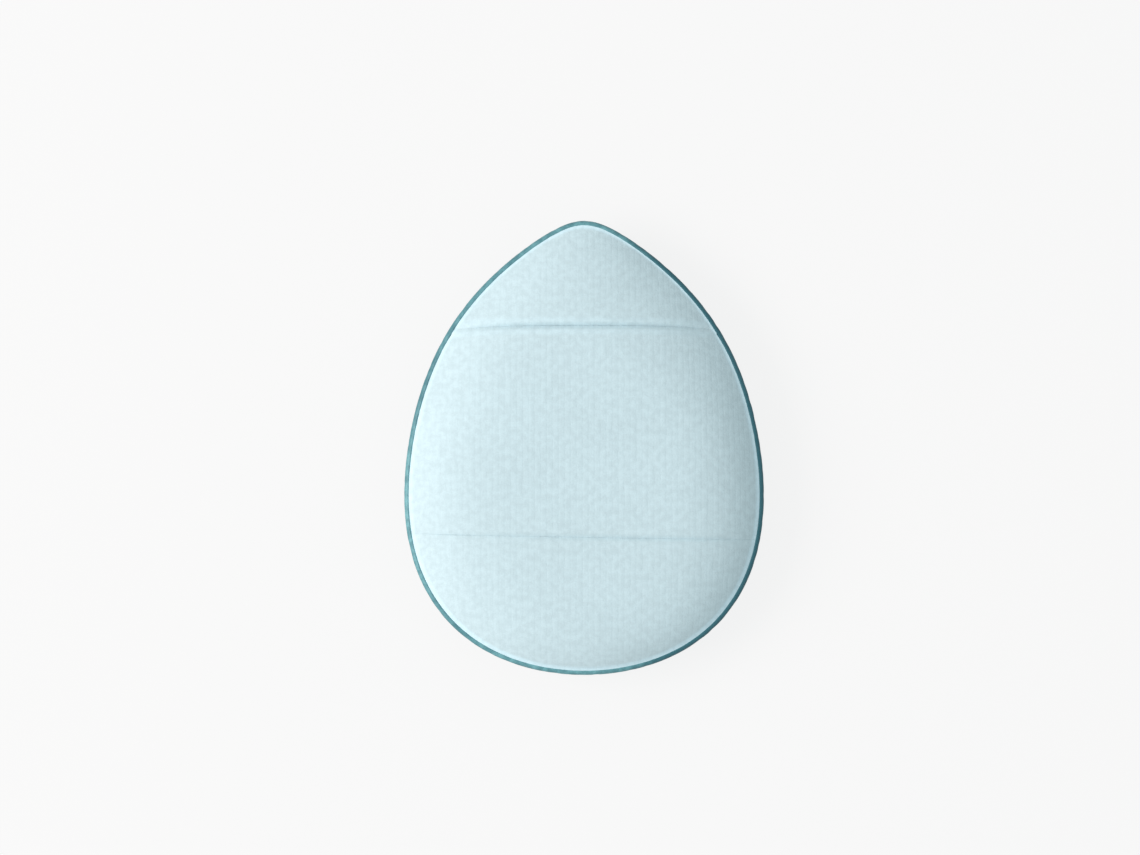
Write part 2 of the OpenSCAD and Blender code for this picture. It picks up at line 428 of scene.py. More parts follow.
@dataclass(frozen=True)
class BackForm:
    """Heights of the crowned back, of the strap's seat in it and of the lining below.

    Args:
        sizes: Sizes of the pad.
        crown_power: How flat the plateau is in the middle of the pad.
        crown_lean: How fast the plateau gets flatter and its flank steeper towards the round end.
        strap_power: How fast the strap thickens from its pressed ends.
        crease_power: How late the creases beside the strap die out towards its ends.
        foot_radius: Rounding of the crown's foot.
        ease_depth: Height of the gentle unevenness of soft foam.
        ease_length: Distance from one soft swell to the next.
        ease_power: How late the swells die out towards the rim.
        ease_place: Place in the noise that the swells are taken from.
    """

    sizes: PadSizes
    crown_power: float = 5.0
    crown_lean: float = 0.55
    strap_power: float = 4.0
    crease_power: float = 20.0
    foot_radius: float = 0.12 * MM
    ease_depth: float = 0.05 * MM
    ease_length: float = 7.0 * MM
    ease_power: int = 4
    ease_place: float = 3.7

    def out(self, x: float, y: float) -> float:
        """How far out a point of the back lies: 1 at the crown's foot and beyond."""
        return min(1.0, self.sizes.plan.reach(x, y, self.sizes.foot_inset))

    def _ease(self, x: float, y: float, out: float) -> float:
        """Soft unevenness of the foam, which dies out at the rim."""
        place = Vector((x / self.ease_length, y / self.ease_length, self.ease_place))
        return self.ease_depth * noise.noise(place) * (1.0 - out**self.ease_power)

    def _fullness(self, y: float) -> float:
        """How flat the plateau is at a place along the pad."""
        return self.crown_power * math.exp(-self.crown_lean * y / self.sizes.plan.half_length)

    def _rise(self, height: float, y: float, out: float) -> float:
        """Rise of a crown with a rounded foot.

        Args:
            height: Rise of its middle.
            y: Place along the pad.
            out: How far out the point lies.

        Returns:
            The rise.
        """
        rise = height * (1.0 - out ** self._fullness(y))
        rounded = math.hypot(rise, self.foot_radius) - self.foot_radius
        return rounded * height / (math.hypot(height, self.foot_radius) - self.foot_radius)

    def _tuck(self, x: float, y: float) -> float:
        """Drop of the cloth beyond the crown's foot, inside the bead.

        Args:
            x: Place across the pad.
            y: Place along it, towards the tip.

        Returns:
            The drop.
        """
        s = self.sizes
        past = (s.foot_inset - s.plan.depth(x, y)) / (s.foot_inset - s.bead_buried)
        return s.tuck * min(1.0, max(0.0, past))

    def outer_z(self, x: float, y: float) -> float:
        """Height of the back's outer face, which the strap's face continues.

        Args:
            x: Place across the pad.
            y: Place along it, towards the tip.

        Returns:
            The height.
        """
        s = self.sizes
        out = self.out(x, y)
        rise = self._rise(s.crown_z - s.foot_z, y, out) + self._ease(x, y, out)
        return s.foot_z + rise - self._tuck(x, y)

    def strap_thickness(self, out: float) -> float:
        """Thickness of the strap, pressed thin towards its ends."""
        s = self.sizes
        return mix(s.strap_end_t, s.strap_t, 1.0 - out**self.strap_power)

    def tip_depth(self, crease: Crease, x: float, out: float) -> float:
        """Depth of the strap's edge below its face in a crease."""
        share = crease.tip * (1.0 + crease.lean * x / self.sizes.plan.half_width)
        return share * self.strap_thickness(out) * (1.0 - out**self.crease_power)

    def _clearance(self, out: float) -> float:
        """Gap between the strap and the cover."""
        s = self.sizes
        return mix(s.end_gap, s.strap_gap, 1.0 - out * out)

    def _past_edge(self, x: float, y: float) -> tuple[float, Crease]:
        """Distance of a point beyond the strap's nearest edge, and the crease there.

        Args:
            x: Place across the pad.
            y: Place along it, towards the tip.

        Returns:
            The distance, negative under the strap, and the crease.
        """
        s = self.sizes
        above = y - s.upper_line(x, y)
        below = s.lower_line(x) - y
        return (above, s.upper_crease) if above > below else (below, s.lower_crease)

    def _seat(self, x: float, y: float) -> float:
        """Share of the strap's seat in the lining: 1 under the strap, 0 beyond the shoulders.

        Args:
            x: Place across the pad.
            y: Place along it, towards the tip.

        Returns:
            The share.
        """
        past, crease = self._past_edge(x, y)
        run = self.sizes.crease_run
        return 1.0 - smooth_step((past + run) / (run + crease.shoulder_w))

    def cover_z(self, x: float, y: float) -> float:
        """Height of the back cover's outer face, with rounded shoulders beside the strap's seat.

        Args:
            x: Place across the pad.
            y: Place along it, towards the tip.

        Returns:
            The height.
        """
        s = self.sizes
        out = self.out(x, y)
        thickness = self.strap_thickness(out)
        past, crease = self._past_edge(x, y)
        lip = self.tip_depth(crease, x, out) + (crease.lip - crease.tip) * thickness
        if past > 0.0:
            sunk = lip * (1.0 - crease.level(1.0 - min(1.0, past / crease.shoulder_w)))
        else:
            sunk = mix(lip, thickness + self._clearance(out), smooth_step(-past / s.crease_run))
        return self.outer_z(x, y) - sunk

    def lining_z(self, x: float, y: float) -> float:
        """Height of the back cover's inner face.

        Args:
            x: Place across the pad.
            y: Place along it, towards the tip.

        Returns:
            The height.
        """
        s = self.sizes
        out = min(1.0, s.plan.reach(x, y, s.core_inset))
        height = s.crown_z - s.weld_z - s.cover_t
        depth = (s.strap_t + s.strap_gap) * (1.0 - out**self.strap_power)
        return s.weld_z + self._rise(height, y, out) + self._ease(x, y, out) - self._seat(x, y) * depth

    def cloth_spot(self, x: float, y: float) -> tuple[float, float]:
        """Place of a point on the flat cloth, in millimetres from its middle along each direction.

        Args:
            x: Place across the pad.
            y: Place along it, towards the tip.

        Returns:
            The place across the cloth and along it.
        """
        along_x = self._cloth_length(lambda share: (share * x, y))
        along_y = self._cloth_length(lambda share: (x, share * y))
        return math.copysign(along_x, x) / MM, math.copysign(along_y, y) / MM

    def _cloth_length(self, line: Callable[[float], tuple[float, float]], steps: int = 16) -> float:
        """Length over the crown of a straight line on the plan, given from share 0 to share 1.

        Args:
            line: Point of the line for a share of the way along it.
            steps: Number of chords that the length is added up from.

        Returns:
            The length.
        """
        s = self.sizes
        length = 0.0
        last = None
        for k in range(steps + 1):
            x, y = line(k / steps)
            rise = (s.crown_z - s.foot_z) * (1.0 - self.out(x, y) ** self._fullness(y))
            spot = Vector((x, y, rise))
            if last is not None:
                length += (spot - last).length
            last = spot
        return length


@dataclass(frozen=True)
class Row:
    """One row of a lattice.

    Args:
        angle: Angle on the egg of the row's right-hand end.
        bend: How far the row bends into the tip's arc, from 0 to 1.
        bow: Share of the bow of the strap's upper edge.
        slant: Share of the slant of the strap's lower edge.
    """

    angle: float
    bend: float
    bow: float
    slant: float


@dataclass(frozen=True)
class Lattice:
    """Grid over the pad whose rows follow the strap's edges and bend into both tips.

    The rows' ends are set at the crown's foot, so grids at other insets share their angles on the egg.

    Args:
        sizes: Sizes of the pad.
        inset: Inset of the grid's edge from the welded edge.
        columns: Number of cells across.
        tip_rows: Number of rows between a crease and the tip beyond it.
        crease_rows: Number of rows across each crease.
        seat_rows: Number of rows across the strap's seat.
        round_corner: Angle on the egg of the right-hand end of the round end's outermost row.
        point_corner: The same angle at the pointed tip.
    """

    sizes: PadSizes
    inset: float
    columns: int
    tip_rows: int
    crease_rows: int
    seat_rows: int
    round_corner: float = math.radians(-62.0)
    point_corner: float = math.radians(58.0)

    def rows(self) -> list[Row]:
        """All rows, from the round end to the pointed tip.

        Returns:
            The rows.
        """
        s = self.sizes
        low = s.lower_edge - s.lower_crease.shoulder_w
        low_seat = s.lower_edge + s.crease_run
        high_seat = s.upper_edge - s.crease_run
        high = s.upper_edge + s.upper_crease.shoulder_w
        rows = [
            self._tip_row(low, self.round_corner, k / self.tip_rows, 0.0, 1.0)
            for k in range(self.tip_rows)
        ]
        for k in range(self.crease_rows):
            past = self._crease_step(k / self.crease_rows, s.lower_crease.shoulder_w)
            rows.append(self._level_row(s.lower_edge - past, 0.0))
        for k in range(self.seat_rows):
            share = 0.5 + 0.5 * crowd(2.0 * k / self.seat_rows - 1.0)
            rows.append(self._level_row(mix(low_seat, high_seat, share), share))
        for k in range(self.crease_rows):
            past = self._crease_step(1.0 - k / self.crease_rows, s.upper_crease.shoulder_w)
            rows.append(self._level_row(s.upper_edge + past, 1.0))
        rows += [
            self._tip_row(high, self.point_corner, 1.0 - k / self.tip_rows, 1.0, 0.0)
            for k in range(self.tip_rows + 1)
        ]
        return rows

    def _crease_step(self, share: float, shoulder: float) -> float:
        """Distance beyond the strap's edge of a crease's row, from its shoulder (share 0) to its seat.

        Args:
            share: Share of the way from the shoulder to the seat.
            shoulder: Reach of the shoulder.

        Returns:
            The distance, negative under the strap.
        """
        if share < 0.5:
            return shoulder * (1.0 - math.sin(math.pi * share))
        return self.sizes.crease_run * (1.0 - 2.0 * share)

    def _level_row(self, y: float, bow: float) -> Row:
        """Row between the strap's edges or in a crease, at a height on the plan."""
        return Row(self.sizes.plan.angle_at(y, self.sizes.foot_inset), 0.0, bow, 1.0 - bow)

    def _tip_row(self, start: float, corner: float, share: float, bow: float, slant: float) -> Row:
        """Row between a tip (share 0) and the nearest crease (share 1), crowded at both ends.

        Args:
            start: Height on the plan of the crease's outer side.
            corner: Angle on the egg of the tip's outermost row.
            share: Share of the way from the tip to the crease.
            bow: Share of the bow that the crease takes from the strap's upper edge.
            slant: Share of the slant that it takes from the lower edge.

        Returns:
            The row.
        """
        bend = 0.5 + 0.5 * crowd(1.0 - 2.0 * share)
        angle = mix(self.sizes.plan.angle_at(start, self.sizes.foot_inset), corner, bend)
        return Row(angle, bend * bend, bow * (1.0 - bend), slant * (1.0 - bend))

    def place(self, row: Row, across: float) -> tuple[float, float, float]:
        """Point of a row.

        Args:
            row: The row.
            across: Place along the row, from -1 at its left end to 1 at its right.

        Returns:
            The point's x and y, and its angle on the egg, which counts on the grid's edge.
        """
        s = self.sizes
        across = crowd(across)
        foot_x, foot_y = s.plan.spot(row.angle, s.foot_inset)
        lift = math.copysign(row.slant * s.lower_slant * foot_x, across)
        end = s.plan.angle_at(foot_y + lift, s.foot_inset)
        end_x, end_y = s.plan.spot(end, self.inset)
        x = end_x * across
        y = mix(s.plan.spot(row.angle, self.inset)[1], end_y, abs(across))
        corner = self.point_corner if row.angle > 0.0 else self.round_corner
        angle = end if across > 0.0 else math.pi - end
        if row.bend > 0.0:
            quarter = math.copysign(0.5 * math.pi, corner)
            arc_angle = quarter - across * (quarter - corner)
            corner_x, corner_y = s.plan.spot(corner, self.inset)
            arc_x, arc_y = s.plan.spot(arc_angle, self.inset)
            x = end_x * mix(across, arc_x / corner_x, row.bend)
            y += row.bend * (arc_y - corner_y)
            if row.bend == 1.0:
                angle = arc_angle
        y += row.bow * s.strap_bow * (1.0 - across**s.bow_power)
        return x, y, angle


Place = Callable[[float], Sequence[float]]
FaceSpot = Callable[[float, int], Sequence[float]]


def add_object(name: str, data: bpy.types.ID) -> bpy.types.Object:
    """Add an object to the scene.

    Args:
        name: Name of the object.
        data: What it holds.

    Returns:
        The object.
    """
    thing = bpy.data.objects.new(name, data)
    bpy.context.scene.collection.objects.link(thing)
    return thing


def add_mesh(name: str, mesh: BMesh, material: bpy.types.Material) -> bpy.types.Object:
    """Add a finished mesh to the scene with its material, and let go of the working copy.

    Args:
        name: Name of the object and of its mesh.
        mesh: Working copy of the mesh.
        material: Its material.

    Returns:
        The object.
    """
    data = bpy.data.meshes.new(name)
    mesh.to_mesh(data)
    mesh.free()
    data.materials.append(material)
    return add_object(name, data)


class Skin:
    """A mesh in the making. Each rim point knows its place along its loop.

    The place is an angle on the egg, so a loop can be drawn on to any inset and height.
    """

    def __init__(self) -> None:
        """Start an empty mesh."""
        self.mesh: BMesh = bmesh.new()
        self.place = self.mesh.verts.layers.float.new(RIM_PLACE)

    def add_loop(self, steps: int, spot: Place) -> list[BMEdge]:
        """Lay a closed loop of points.

        Args:
            steps: Number of points.
            spot: Point for a place along the loop, given as an angle from 0 to a full turn.

        Returns:
            The edges of the loop.
        """
        made = bmesh.ops.create_circle(self.mesh, segments=steps, radius=1.0)
        for vert in made["verts"]:
            vert[self.place] = math.atan2(vert.co.y, vert.co.x) % math.tau
            vert.co = spot(vert[self.place])
        return list(dict.fromkeys(edge for vert in made["verts"] for edge in vert.link_edges))

    def add_lattice(self, lattice: Lattice, height: Callable[[float, float], float]) -> list[BMEdge]:
        """Lay a lattice at the heights that a function gives.

        Args:
            lattice: Rows and columns of the grid.
            height: Height for a point of the plan.

        Returns:
            The edges of its boundary.
        """
        rows = lattice.rows()
        last = len(rows) - 1
        points = self._add_grid(lattice.columns, last)
        for vert in points:
            row = rows[round(0.5 * (vert.co.y + 1.0) * last)]
            x, y, vert[self.place] = lattice.place(row, vert.co.x)
            vert.co = (x, y, height(x, y))
        return self._boundary(points)

    def add_face(self, columns: int, rows: int, spot: FaceSpot) -> list[BMEdge]:
        """Lay a face of a ribbon.

        Args:
            columns: Number of cells along it.
            rows: Number of cells across it.
            spot: Point for a share of the way along it and the number of its row.

        Returns:
            The edges of its boundary.
        """
        points = self._add_grid(columns, rows)
        for vert in points:
            share = 0.5 * (vert.co.x + 1.0)
            vert.co = spot(share, round(0.5 * (vert.co.y + 1.0) * rows))
        return self._boundary(points)

    def _add_grid(self, columns: int, rows: int) -> list[BMVert]:
        """Lay a square grid that reaches from -1 to 1 both ways."""
        return bmesh.ops.create_grid(self.mesh, x_segments=columns, y_segments=rows, size=1.0)["verts"]

    @staticmethod
    def _boundary(points: list[BMVert]) -> list[BMEdge]:
        """Boundary edges of a grid."""
        edges = dict.fromkeys(edge for vert in points for edge in vert.link_edges)
        return [edge for edge in edges if edge.is_boundary]

    def draw(self, loop: list[BMEdge], spot: Place) -> list[BMEdge]:
        """Extrude a loop of edges and lay the new loop.

        Args:
            loop: Edges of an open rim.
            spot: New point for a place along the loop.

        Returns:
            The edges of the new rim.
        """
        made = bmesh.ops.extrude_edge_only(self.mesh, edges=loop)["geom"]
        for item in made:
            if isinstance(item, BMVert):
                item.co = spot(item[self.place])
        return [item for item in made if isinstance(item, BMEdge) and item.is_boundary]

    def gather(self, loop: list[BMEdge], point: Sequence[float]) -> None:
        """Close a rim with faces that meet at one point.

        Args:
            loop: Edges of the rim.
            point: The point.
        """
        made = bmesh.ops.extrude_edge_only(self.mesh, edges=loop)["geom"]
        tips = [item for item in made if isinstance(item, BMVert)]
        bmesh.ops.pointmerge(self.mesh, verts=tips, merge_co=Vector(point))

    def join(self, first: list[BMEdge], second: list[BMEdge]) -> None:
        """Close the space between two rims with a band of faces."""
        bmesh.ops.bridge_loops(self.mesh, edges=[*first, *second])

    def lay_cloth(self, form: BackForm) -> None:
        """Give each point its place on the flat cloth, and say how pale the cloth is there, painted
        highlights included.

        Args:
            form: Form of the back that the cloth covers.
        """
        cloth = self.mesh.loops.layers.uv.new(CLOTH_MAP)
        pale = self.mesh.verts.layers.float.new(PALE_AND_HIGHLIT)
        for vert in self.mesh.verts:
            vert[pale] = form.sizes.pale_and_highlit(vert.co.x, vert.co.y)
            spot = form.cloth_spot(vert.co.x, vert.co.y)
            for corner in vert.link_loops:
                corner[cloth].uv = spot

    def weld_points(self, distance: float = 1e-7) -> None:
        """Merge points that lie on each other."""
        bmesh.ops.remove_doubles(self.mesh, verts=self.mesh.verts, dist=distance)

    def sharpen_corners(self, angle: float) -> None:
        """Keep the shading apart at edges whose faces meet at more than an angle.

        Args:
            angle: The angle.
        """
        bmesh.ops.recalc_face_normals(self.mesh, faces=self.mesh.faces)
        for edge in self.mesh.edges:
            edge.smooth = edge.calc_face_angle(0.0) < angle

    def blank_area(self, stretch: float) -> float:
        """Area that a finished sheet had when it was cut, from its two faces and its stretch."""
        return 0.5 * sum(face.calc_area() for face in self.mesh.faces) / stretch

    def make_piece(self, name: str, finish: Finish, slot: Slot) -> bpy.types.Object:
        """Turn the finished mesh into a smooth-shaded piece with its material.

        Args:
            name: Name of the piece.
            finish: Finish of its surface.
            slot: Material slot of the record; not used.

        Returns:
            The new object.
        """
        bmesh.ops.recalc_face_normals(self.mesh, faces=self.mesh.faces)
        for face in self.mesh.faces:
            face.smooth = True
        piece = add_mesh(name, self.mesh, finish.material())
        return piece


@dataclass(frozen=True)
class Bowl:
    """One face of a bowl below the weld plane.

    Args:
        sizes: Sizes of the pad.
        inset: Inset of the bowl's wall from the welded edge.
        bottom_z: Height of its bottom.
        power: How square the bowl is.
    """

    sizes: PadSizes
    inset: float
    bottom_z: float
    power: float = 3.5

    def ring(self, turn: float) -> tuple[float, float]:
        """Height and share of size of a ring, from the wall's foot (turn 0) to the middle (turn 1).

        Args:
            turn: Place of the ring between the two.

        Returns:
            The height, and the share by which the egg is shrunk.
        """
        share = math.cos(0.5 * math.pi * turn)
        top = self.sizes.weld_z - self.sizes.wall_h
        sweep = math.acos(share ** (0.5 * self.power))
        return top - (top - self.bottom_z) * math.sin(sweep), share

    def spot(self, turn: float) -> Place:
        """Points of a ring, as a function of the angle on the egg."""
        z, share = self.ring(turn)
        return lambda angle: (*self.sizes.plan.spot(angle, self.inset, share), z)

    def rim(self, angle: float) -> tuple[float, float, float]:
        """Point of the bowl's rim, on the weld plane."""
        return (*self.sizes.plan.spot(angle, self.inset), self.sizes.weld_z)

    def draw_down(self, skin: Skin, loop: list[BMEdge], rings: int) -> None:
        """Draw the bowl from its rim to the middle of its bottom.

        Args:
            skin: Mesh in the making.
            loop: The rim's edges.
            rings: Number of rings from the wall's foot to the middle.
        """
        for k in range(rings):
            loop = skin.draw(loop, self.spot(k / rings))
        skin.gather(loop, (0.0, 0.0, self.bottom_z))


@dataclass(frozen=True)
class ContactFace:
    """Soft foam skin that touches the face, wrapped up to the weld and pressed flat where the pad lies.

    Args:
        sizes: Sizes of the pad.
        finish: Finish of the foam.
        steps: Number of points round a ring.
        outer_rings: Number of rings outside.
        inner_rings: Number of rings inside.
        foot_radius: Softness of the edge of the flat foot.
        gather_depth: Depth of the small gathers below the weld.
        gather_length: Distance from one gather to the next.
        gather_fall: Distance below the weld over which the gathers die out.
        gather_drift: How far they wander sideways down to the middle, in gathers.
        fill: How tight the foam is; not used.
    """

    sizes: PadSizes
    finish: Finish
    steps: int = 480
    outer_rings: int = 44
    inner_rings: int = 16
    foot_radius: float = 0.3 * MM
    gather_depth: float = 0.1 * MM
    gather_length: float = 1.1 * MM
    gather_fall: float = 1.6 * MM
    gather_drift: float = 0.3
    fill: float = 0.5

    def build(self) -> bpy.types.Object:
        """Build the skin and dress it.

        Returns:
            The piece.
        """
        s = self.sizes
        skin = Skin()
        inside = Bowl(s, s.film_inset, s.film_z)
        outside = Bowl(s, s.bead_w, -s.foot_cut)
        inner_rim = skin.add_loop(self.steps, inside.rim)
        inside.draw_down(skin, inner_rim, self.inner_rings)
        outer_rim = skin.add_loop(self.steps, inside.rim)
        step_z = s.weld_z - s.bead_step
        loop = skin.draw(outer_rim, lambda angle: (*s.plan.spot(angle, s.bead_buried), step_z))
        for k in range(self.outer_rings):
            loop = skin.draw(loop, self._outer_spot(outside, k / self.outer_rings))
        skin.gather(loop, (0.0, 0.0, 0.0))
        skin.weld_points()
        piece = skin.make_piece("Contact_Face", self.finish, Slot.CONTACT)
        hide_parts("contact_face")
        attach(piece, Body.PUFF.value)
        return piece

    def _outer_spot(self, bowl: Bowl, turn: float) -> Place:
        """Points of an outer ring, with gathers below the weld and a flat foot.

        Args:
            bowl: Bowl that the ring lies on.
            turn: Place of the ring, 0 at the wall's foot and 1 in the middle.

        Returns:
            The points, as a function of the angle on the egg.
        """
        s = self.sizes
        level, share = bowl.ring(turn)
        fade = math.exp(-((s.weld_z - s.wall_h - level) / self.gather_fall) ** 2)
        sunk = soft_positive(-s.foot_cut, self.foot_radius)
        z = soft_positive(level, self.foot_radius) - sunk
        drift = self.gather_drift * turn

        def spot(angle: float) -> tuple[float, float, float]:
            """Point of the ring at an angle.

            Args:
                angle: Angle on the egg.

            Returns:
                The point.
            """
            edge_x, edge_y = s.plan.spot(angle, s.bead_w)
            place = Vector((edge_x / self.gather_length, edge_y / self.gather_length, drift))
            inset = s.bead_w + self.gather_depth * fade * (0.5 + noise.noise(place))
            return (*s.plan.spot(angle, inset, share), z)

        return spot


@dataclass(frozen=True)
class BowlLayer:
    """Thin layer between two bowls, such as the barrier film or the web below the core.

    Args:
        sizes: Sizes of the pad.
        finish: Finish of the layer.
        slot: Material slot of the record.
        node: Solid that it replaces, whose name it takes with capitals.
        outside: Bowl that it lies in.
        inside: Bowl that lies in it.
        steps: Number of points round a ring.
        rings: Number of rings in each bowl.
        stretch: Area of the stretched layer over its area when it was cut.
    """

    sizes: PadSizes
    finish: Finish
    slot: Slot
    node: str
    outside: Bowl
    inside: Bowl
    steps: int = 240
    rings: int = 16
    stretch: float = 1.08

    def build(self) -> bpy.types.Object:
        """Build the layer and dress it.

        Returns:
            The piece.
        """
        skin = Skin()
        rim = skin.add_loop(self.steps, self.outside.rim)
        self.outside.draw_down(skin, rim, self.rings)
        self.inside.draw_down(skin, skin.draw(rim, self.inside.rim), self.rings)
        area = skin.blank_area(self.stretch)
        piece = skin.make_piece(self.node.title(), self.finish, self.slot)
        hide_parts(self.node)
        flat_blank(area, self.sizes.plan)
        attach(piece, Body.PUFF.value)
        return piece


@dataclass(frozen=True)
class FoamCore:
    """Soft open-cell core that fills the pad.

    Args:
        sizes: Sizes of the pad.
        form: Form of the back.
        lattice: Grid of its upper face.
        finish: Finish of the foam.
        rings: Number of rings in its bowl.
        fill: How tight the foam is; not used.
    """

    sizes: PadSizes
    form: BackForm
    lattice: Lattice
    finish: Finish
    rings: int = 20
    fill: float = 0.6

    def build(self) -> bpy.types.Object:
        """Build the core and dress it.

        Returns:
            The piece.
        """
        s = self.sizes
        skin = Skin()
        rim = skin.add_lattice(self.lattice, lambda x, y: self.form.lining_z(x, y) - s.web_t)
        bowl = Bowl(s, s.core_inset, s.core_z)
        bowl.draw_down(skin, rim, self.rings)
        piece = skin.make_piece("Foam_Core", self.finish, Slot.CORE)
        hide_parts("foam_core")
        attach(piece, Body.PUFF.value)
        return piece


@dataclass(frozen=True)
class BackAdhesive:
    """Web of hot-melt adhesive between the core and the back cover.

    Args:
        sizes: Sizes of the pad.
        form: Form of the back.
        lattice: Grid of both its faces.
        finish: Finish of the web.
        stretch: Area of the laid web over its area when it was cut.
    """

    sizes: PadSizes
    form: BackForm
    lattice: Lattice
    finish: Finish
    stretch: float = 1.02

    def build(self) -> bpy.types.Object:
        """Build the web and dress it.

        Returns:
            The piece.
        """
        s = self.sizes
        skin = Skin()
        skin.add_lattice(self.lattice, self.form.lining_z)
        skin.add_lattice(self.lattice, self._underside)
        skin.weld_points()
        area = skin.blank_area(self.stretch)
        piece = skin.make_piece("Back_Adhesive", self.finish, Slot.WEB)
        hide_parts("back_adhesive")
        flat_blank(area, s.plan)
        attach(piece, Body.PUFF.value)
        return piece

    def _underside(self, x: float, y: float) -> float:
        """Height of the web's underside, which meets its upper face at the rim.

        Args:
            x: Place across the pad.
            y: Place along it, towards the tip.

        Returns:
            The height.
        """
        s = self.sizes
        out = min(1.0, s.plan.reach(x, y, s.core_inset))
        return self.form.lining_z(x, y) - s.web_t * min(1.0, (1.0 - out) / s.web_fade)


@dataclass(frozen=True)
class BackCover:
    """Knitted back with a foot that the weld presses, and a shallow seat for the strap.

    Args:
        sizes: Sizes of the pad.
        form: Form of the back.
        outer: Grid of its outer face.
        inner: Grid of its inner face.
        finish: Finish of the knit.
        stretch: Area of the moulded cover over its area when it was cut.
    """

    sizes: PadSizes
    form: BackForm
    outer: Lattice
    inner: Lattice
    finish: Finish
    stretch: float = 1.03

    def build(self) -> bpy.types.Object:
        """Build the cover and dress it.

        Returns:
            The piece.
        """
        s = self.sizes
        skin = Skin()
        loop = skin.add_lattice(self.outer, self.form.cover_z)
        loop = skin.draw(loop, self._on_foot(s.bead_buried))
        for inset in (s.bead_buried, s.foot_inset, mix(s.foot_inset, s.core_inset, 0.5), s.core_inset):
            loop = skin.draw(loop, self._on_weld(inset))
        skin.add_lattice(self.inner, self.form.lining_z)
        skin.weld_points()
        skin.lay_cloth(self.form)
        area = skin.blank_area(self.stretch)
        piece = skin.make_piece("Back_Cover", self.finish, Slot.COVER)
        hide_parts("back_cover")
        flat_blank(area, s.plan)
        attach(piece, Body.PUFF.value)
        return piece

    def _on_foot(self, inset: float) -> Place:
        """Points on the cover's foot at an inset.

        Args:
            inset: Distance in from the welded edge.

        Returns:
            The points, as a function of the angle on the egg.
        """

        def spot(angle: float) -> tuple[float, float, float]:
            """Point of the loop at an angle."""
            x, y = self.sizes.plan.spot(angle, inset)
            return x, y, self.form.cover_z(x, y)

        return spot

    def _on_weld(self, inset: float) -> Place:
        """Points on the weld plane at an inset."""
        return lambda angle: (*self.sizes.plan.spot(angle, inset), self.sizes.weld_z)


@dataclass(frozen=True)
class CutSpot:
    """Point of the ribbon's cut.

    Args:
        across: Share of the way across the ribbon's flat faces.
        step: Step sideways into a rounded edge.
        level: Height of the face there: 1 on the flat faces, 0 at the edge's tip.
        crease: Crease beside the nearest edge.
    """

    across: float
    step: float
    level: float
    crease: Crease


